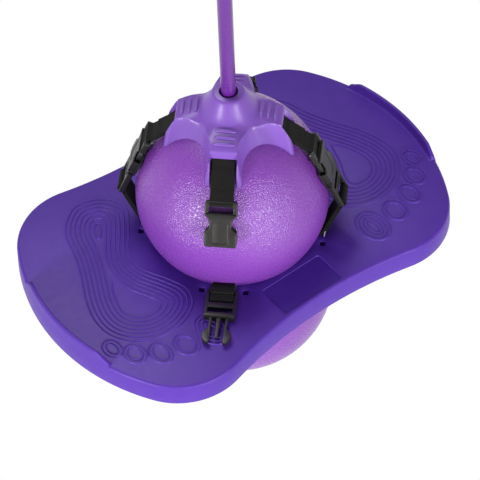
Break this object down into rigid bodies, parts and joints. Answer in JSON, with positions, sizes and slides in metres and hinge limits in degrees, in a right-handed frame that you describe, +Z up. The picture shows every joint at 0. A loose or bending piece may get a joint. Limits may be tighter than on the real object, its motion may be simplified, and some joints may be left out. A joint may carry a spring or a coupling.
{
  "type": "balance dome trainer",
  "caption": "Waisted air ball carrying an oblong footboard with raised footprints, held by a star-shaped cap with strap buckles, and an elastic pull tube with a bar handle.",
  "frame": {"origin": "centre of the ball's flattened contact patch on the floor, at the bottom of the whole object", "axes": "+Z up along the ball and the pull tube, +X along the long side of the board, toes towards -Y"},
  "size_m": [0.485, 0.321, 0.677],
  "materials": {
    "board_plastic": "moulded violet polyethylene with a soft sheen",
    "ball_vinyl": "pebble-grained satin purple vinyl",
    "cap_plastic": "smooth moulded lilac plastic, satin gloss",
    "tube_latex": "smooth glossy violet elastic tube",
    "webbing": "ribbed black polypropylene webbing",
    "buckle_plastic": "black acetal, satin",
    "grip_foam": "fine-celled black foam",
    "hub_plastic": "black moulded plastic",
    "valve_vinyl": "white vinyl",
    "zinc_steel": "bright zinc plate",
    "bar_aluminium": "drawn tube",
    "plug_nylon": "black nylon"
  },
  "bodies": {
    "trainer": {"board": "board_plastic", "ball": "ball_vinyl", "cap": "cap_plastic", "tube_base_plug": "plug_nylon", "tube_collar": "plug_nylon", "retainer_plate": "zinc_steel", "retainer_screws": "zinc_steel", "pull_tube": "tube_latex", "front_right_lower_strap": "webbing", "front_left_upper_strap": "webbing", "front_left_female_buckle": "buckle_plastic", "front_left_lower_strap": "webbing", "front_left_male_buckle": "buckle_plastic", "rear_left_upper_strap": "webbing", "rear_left_female_buckle": "buckle_plastic", "rear_left_lower_strap": "webbing", "rear_left_male_buckle": "buckle_plastic", "rear_right_upper_strap": "webbing", "rear_right_female_buckle": "buckle_plastic", "rear_right_lower_strap": "webbing", "rear_right_male_buckle": "buckle_plastic"},
    "valve_plug": {"valve_plug": "valve_vinyl"},
    "handle": {"tube_top_plug": "plug_nylon", "handle_hub": "hub_plastic", "handle_bar": "bar_aluminium", "handle_screw": "zinc_steel", "left_grip": "grip_foam", "right_grip": "grip_foam", "left_end_cap": "cap_plastic", "right_end_cap": "cap_plastic"},
    "front_right_strap": {"front_right_upper_strap": "webbing"},
    "front_right_female": {"front_right_female_buckle": "buckle_plastic"},
    "front_right_male": {"front_right_male_buckle": "buckle_plastic"},
    "front_right_prong_a": {"front_right_prong_a": "buckle_plastic"},
    "front_right_prong_b": {"front_right_prong_b": "buckle_plastic"},
    "front_left_prong_a": {"front_left_prong_a": "buckle_plastic"},
    "front_left_prong_b": {"front_left_prong_b": "buckle_plastic"},
    "rear_left_prong_a": {"rear_left_prong_a": "buckle_plastic"},
    "rear_left_prong_b": {"rear_left_prong_b": "buckle_plastic"},
    "rear_right_prong_a": {"rear_right_prong_a": "buckle_plastic"},
    "rear_right_prong_b": {"rear_right_prong_b": "buckle_plastic"}
  },
  "joints": [
    {"name": "handle_pull", "type": "slide", "parent": "trainer", "child": "handle", "axis": [0, 0, 1], "range_m": [0, 0.25], "stiffness_N_per_m": 300, "deforming": ["pull_tube"]},
    {"name": "valve_plug_pull", "type": "slide", "parent": "trainer", "child": "valve_plug", "axis": [0, 1, 0], "range_m": [0, 0.015]},
    {"name": "front_right_strap_swing", "type": "hinge", "parent": "trainer", "child": "front_right_strap", "pos_m": [-0.03748, -0.03748, 0.359], "axis": [-0.7071, 0.7071, 0], "range_deg": [0, 65]},
    {"name": "front_right_female_swing", "type": "hinge", "parent": "front_right_strap", "child": "front_right_female", "pos_m": [-0.06094, -0.06094, 0.32674], "axis": [-0.7071, 0.7071, 0], "range_deg": [0, 80]},
    {"name": "front_right_male_swing", "type": "hinge", "parent": "trainer", "child": "front_right_male", "pos_m": [-0.07566, -0.07566, 0.204], "axis": [-0.7071, 0.7071, 0], "range_deg": [0, 75]},
    {"name": "front_right_prong_a_squeeze", "type": "hinge", "parent": "front_right_male", "child": "front_right_prong_a", "pos_m": [-0.10794, -0.09486, 0.204], "axis": [0, 0, 1], "range_deg": [0, 7], "stiffness_Nm_per_rad": 0.5},
    {"name": "front_right_prong_b_squeeze", "type": "hinge", "parent": "front_right_male", "child": "front_right_prong_b", "pos_m": [-0.09486, -0.10794, 0.204], "axis": [0, 0, -1], "range_deg": [0, 7], "stiffness_Nm_per_rad": 0.5},
    {"name": "front_left_prong_a_squeeze", "type": "hinge", "parent": "trainer", "child": "front_left_prong_a", "pos_m": [0.0687, -0.08178, 0.28795], "axis": [-0.6556, 0.6556, -0.3746], "range_deg": [0, 7], "stiffness_Nm_per_rad": 0.5},
    {"name": "front_left_prong_b_squeeze", "type": "hinge", "parent": "trainer", "child": "front_left_prong_b", "pos_m": [0.08178, -0.0687, 0.28795], "axis": [0.6556, -0.6556, 0.3746], "range_deg": [0, 7], "stiffness_Nm_per_rad": 0.5},
    {"name": "rear_left_prong_a_squeeze", "type": "hinge", "parent": "trainer", "child": "rear_left_prong_a", "pos_m": [0.08178, 0.0687, 0.28795], "axis": [-0.6556, -0.6556, -0.3746], "range_deg": [0, 7], "stiffness_Nm_per_rad": 0.5},
    {"name": "rear_left_prong_b_squeeze", "type": "hinge", "parent": "trainer", "child": "rear_left_prong_b", "pos_m": [0.0687, 0.08178, 0.28795], "axis": [0.6556, 0.6556, 0.3746], "range_deg": [0, 7], "stiffness_Nm_per_rad": 0.5},
    {"name": "rear_right_prong_a_squeeze", "type": "hinge", "parent": "trainer", "child": "rear_right_prong_a", "pos_m": [-0.0687, 0.08178, 0.28795], "axis": [0.6556, -0.6556, -0.3746], "range_deg": [0, 7], "stiffness_Nm_per_rad": 0.5},
    {"name": "rear_right_prong_b_squeeze", "type": "hinge", "parent": "trainer", "child": "rear_right_prong_b", "pos_m": [-0.08178, 0.0687, 0.28795], "axis": [-0.6556, 0.6556, 0.3746], "range_deg": [0, 7], "stiffness_Nm_per_rad": 0.5}
  ],
  "couplings": [
    {"joint": "front_right_prong_b_squeeze", "follows": "front_right_prong_a_squeeze", "ratio": 1},
    {"joint": "front_left_prong_b_squeeze", "follows": "front_left_prong_a_squeeze", "ratio": 1},
    {"joint": "rear_left_prong_b_squeeze", "follows": "rear_left_prong_a_squeeze", "ratio": 1},
    {"joint": "rear_right_prong_b_squeeze", "follows": "rear_right_prong_a_squeeze", "ratio": 1}
  ]
}
